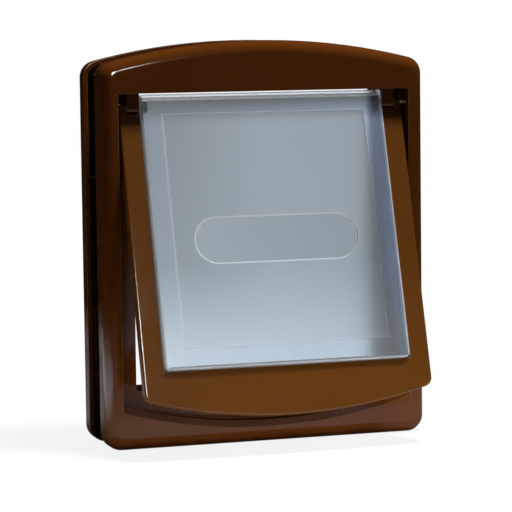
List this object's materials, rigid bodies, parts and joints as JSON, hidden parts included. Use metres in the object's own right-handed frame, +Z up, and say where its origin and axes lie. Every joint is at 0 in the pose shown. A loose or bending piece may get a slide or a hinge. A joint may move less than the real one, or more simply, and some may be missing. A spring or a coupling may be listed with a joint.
{
  "type": "cat flap",
  "caption": "Two-way cat flap for a door leaf: arched, rounded frames on both sides with telescoping collars, a U-shaped flap border and a clear tray pane, shown swung open outwards.",
  "frame": {"origin": "middle of the plane in which the outer frame's rim meets the door leaf", "axes": "+X to the right seen from outdoors, +Y into the house, +Z up"},
  "size_m": [0.198, 0.0989, 0.236],
  "materials": {
    "brown_plastic": "gloss",
    "clear_plastic": "clear, with a frosted middle field",
    "zinc_steel": "zinc-plated",
    "brass": "turned",
    "magnet": "matt, bare"
  },
  "bodies": {
    "frame": {"outer_frame": "brown_plastic", "inner_frame": "brown_plastic", "hinge_pin_left": "zinc_steel", "hinge_pin_right": "zinc_steel", "sill_magnet": "magnet", "fixing_screw_lower_left": "zinc_steel", "fixing_screw_lower_right": "zinc_steel", "fixing_screw_upper_left": "zinc_steel", "fixing_screw_upper_right": "zinc_steel", "threaded_insert_lower_left": "brass", "threaded_insert_lower_right": "brass", "threaded_insert_upper_left": "brass", "threaded_insert_upper_right": "brass", "screw_cap_lower_left": "brown_plastic", "screw_cap_lower_right": "brown_plastic", "screw_cap_upper_left": "brown_plastic", "screw_cap_upper_right": "brown_plastic"},
    "border": {"flap_border": "brown_plastic", "flap_magnet": "magnet"},
    "pane": {"flap_pane": "clear_plastic"}
  },
  "joints": [
    {"name": "border_hinge", "type": "hinge", "parent": "frame", "child": "border", "pos_m": [0, -0.0045, 0.08], "axis": [-1, 0, 0], "range_deg": [-16.3, 70]},
    {"name": "pane_hinge", "type": "hinge", "parent": "border", "child": "pane", "pos_m": [0, -0.0045, 0.08], "axis": [1, 0, 0], "range_deg": [0, 75]}
  ]
}
